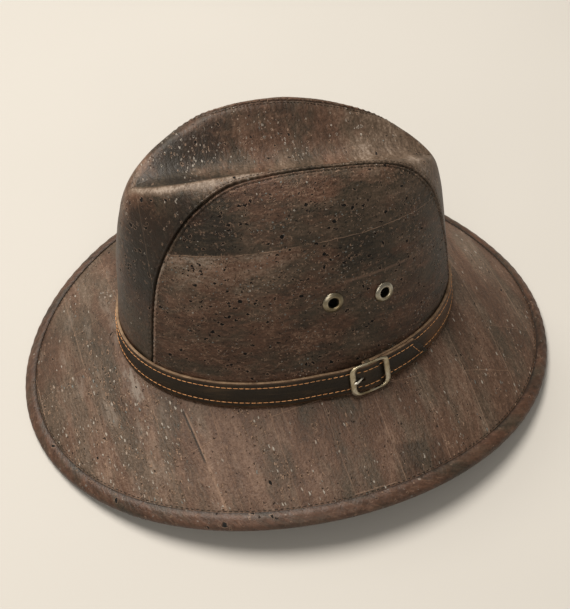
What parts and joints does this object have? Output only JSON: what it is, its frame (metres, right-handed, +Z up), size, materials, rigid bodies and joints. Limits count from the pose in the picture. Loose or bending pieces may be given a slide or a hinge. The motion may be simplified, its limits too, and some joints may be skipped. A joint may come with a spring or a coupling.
{
  "type": "fedora hat",
  "caption": "Cork fabric fedora with a creased crown, a shaped brim in a rolled binding, a stitched leather band with a buckle, and vent eyelets.",
  "frame": {"origin": "on the surface that the brim rests on, under the middle of the brim", "axes": "+Z up, -Y towards the hat's front, +X towards the wearer's left, where the buckle is"},
  "size_m": [0.299, 0.344, 0.1768],
  "materials": {
    "cork": "dark brown cork skin, satin, with fine pits and patches",
    "cork_binding": "dark reddish brown cork strip, satin",
    "band_leather": "dark olive brown waxed leather, raw pale edge",
    "aged_brass": "aged antique brass, satin"
  },
  "bodies": {
    "root": {"crown_side_left": "cork", "crown_side_right": "cork", "crown_centre": "cork", "brim": "cork", "brim_binding": "cork_binding", "hat_band": "band_leather", "buckle_frame": "aged_brass", "buckle_prong": "aged_brass", "eyelet_left_front": "aged_brass", "eyelet_left_back": "aged_brass", "eyelet_right_front": "aged_brass", "eyelet_right_back": "aged_brass"}
  },
  "joints": []
}
